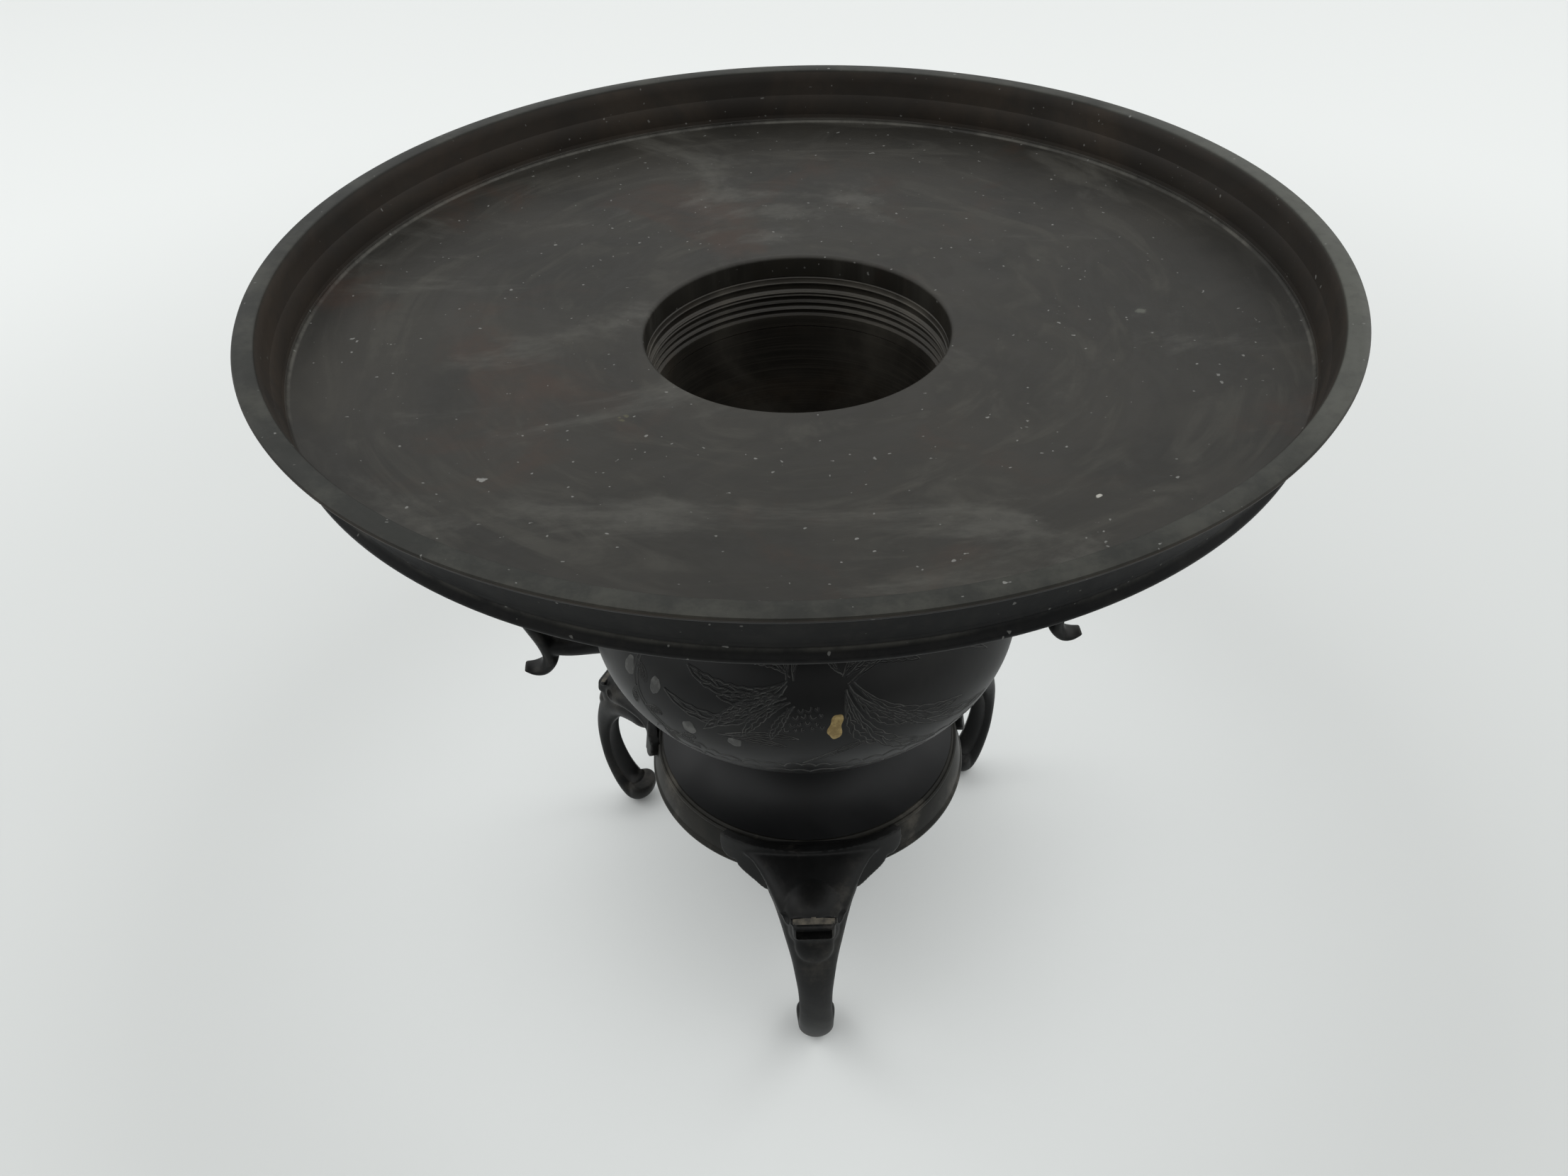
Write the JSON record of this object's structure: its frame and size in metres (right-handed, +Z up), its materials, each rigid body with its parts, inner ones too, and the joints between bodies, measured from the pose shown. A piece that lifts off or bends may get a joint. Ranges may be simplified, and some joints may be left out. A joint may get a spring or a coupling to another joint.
{
  "type": "footed bronze flower vessel",
  "caption": "Cast bronze flower vessel: wide shallow dish that lifts off and turns on a squat two-handled bowl, on a trumpet pedestal with curled beast-headed legs.",
  "frame": {"origin": "on the floor, on the vertical axis of the vessel, at the centre of the base of its bounding box", "axes": "+Z up; -Y towards the front leg; the handles stand close to +X and -X"},
  "size_m": [0.3008, 0.3008, 0.2607],
  "materials": {
    "dish_bronze": "grey-brown patinated bronze, satin, cloudy",
    "body_bronze": "dark patinated bronze, satin, engraved",
    "leg_bronze": "blue-black patinated bronze",
    "ring_bronze": "brown-black patinated bronze, turned",
    "gold": "worn gilt inlay",
    "silver": "tarnished silver inlay"
  },
  "bodies": {
    "vessel": {"mouth_ring": "ring_bronze", "neck": "body_bronze", "shoulder_ring": "ring_bronze", "bowl": "body_bronze", "bowl_plug": "ring_bronze", "waist_ring": "ring_bronze", "pedestal": "body_bronze", "foot_ring": "ring_bronze", "leg_front": "leg_bronze", "leg_right": "leg_bronze", "leg_left": "leg_bronze", "leg_pin_front": "ring_bronze", "leg_pin_right": "ring_bronze", "leg_pin_left": "ring_bronze", "handle_right": "body_bronze", "handle_left": "body_bronze", "handle_pin_right_upper": "ring_bronze", "handle_pin_right_lower": "ring_bronze", "handle_pin_left_upper": "ring_bronze", "handle_pin_left_lower": "ring_bronze", "gold_inlay": "gold", "silver_inlay_1": "silver", "silver_inlay_2": "silver", "silver_inlay_3": "silver", "silver_inlay_4": "silver"},
    "ring": {"throat_ring": "ring_bronze"},
    "dish": {"dish_pan": "dish_bronze"}
  },
  "joints": [
    {"name": "dish_turn", "type": "hinge", "parent": "vessel", "child": "ring", "pos_m": [0, 0, 0.2143], "axis": [0, 0, 1], "continuous": true},
    {"name": "dish_lift", "type": "slide", "parent": "ring", "child": "dish", "axis": [0, 0, 1], "range_m": [0, 0.06]}
  ]
}
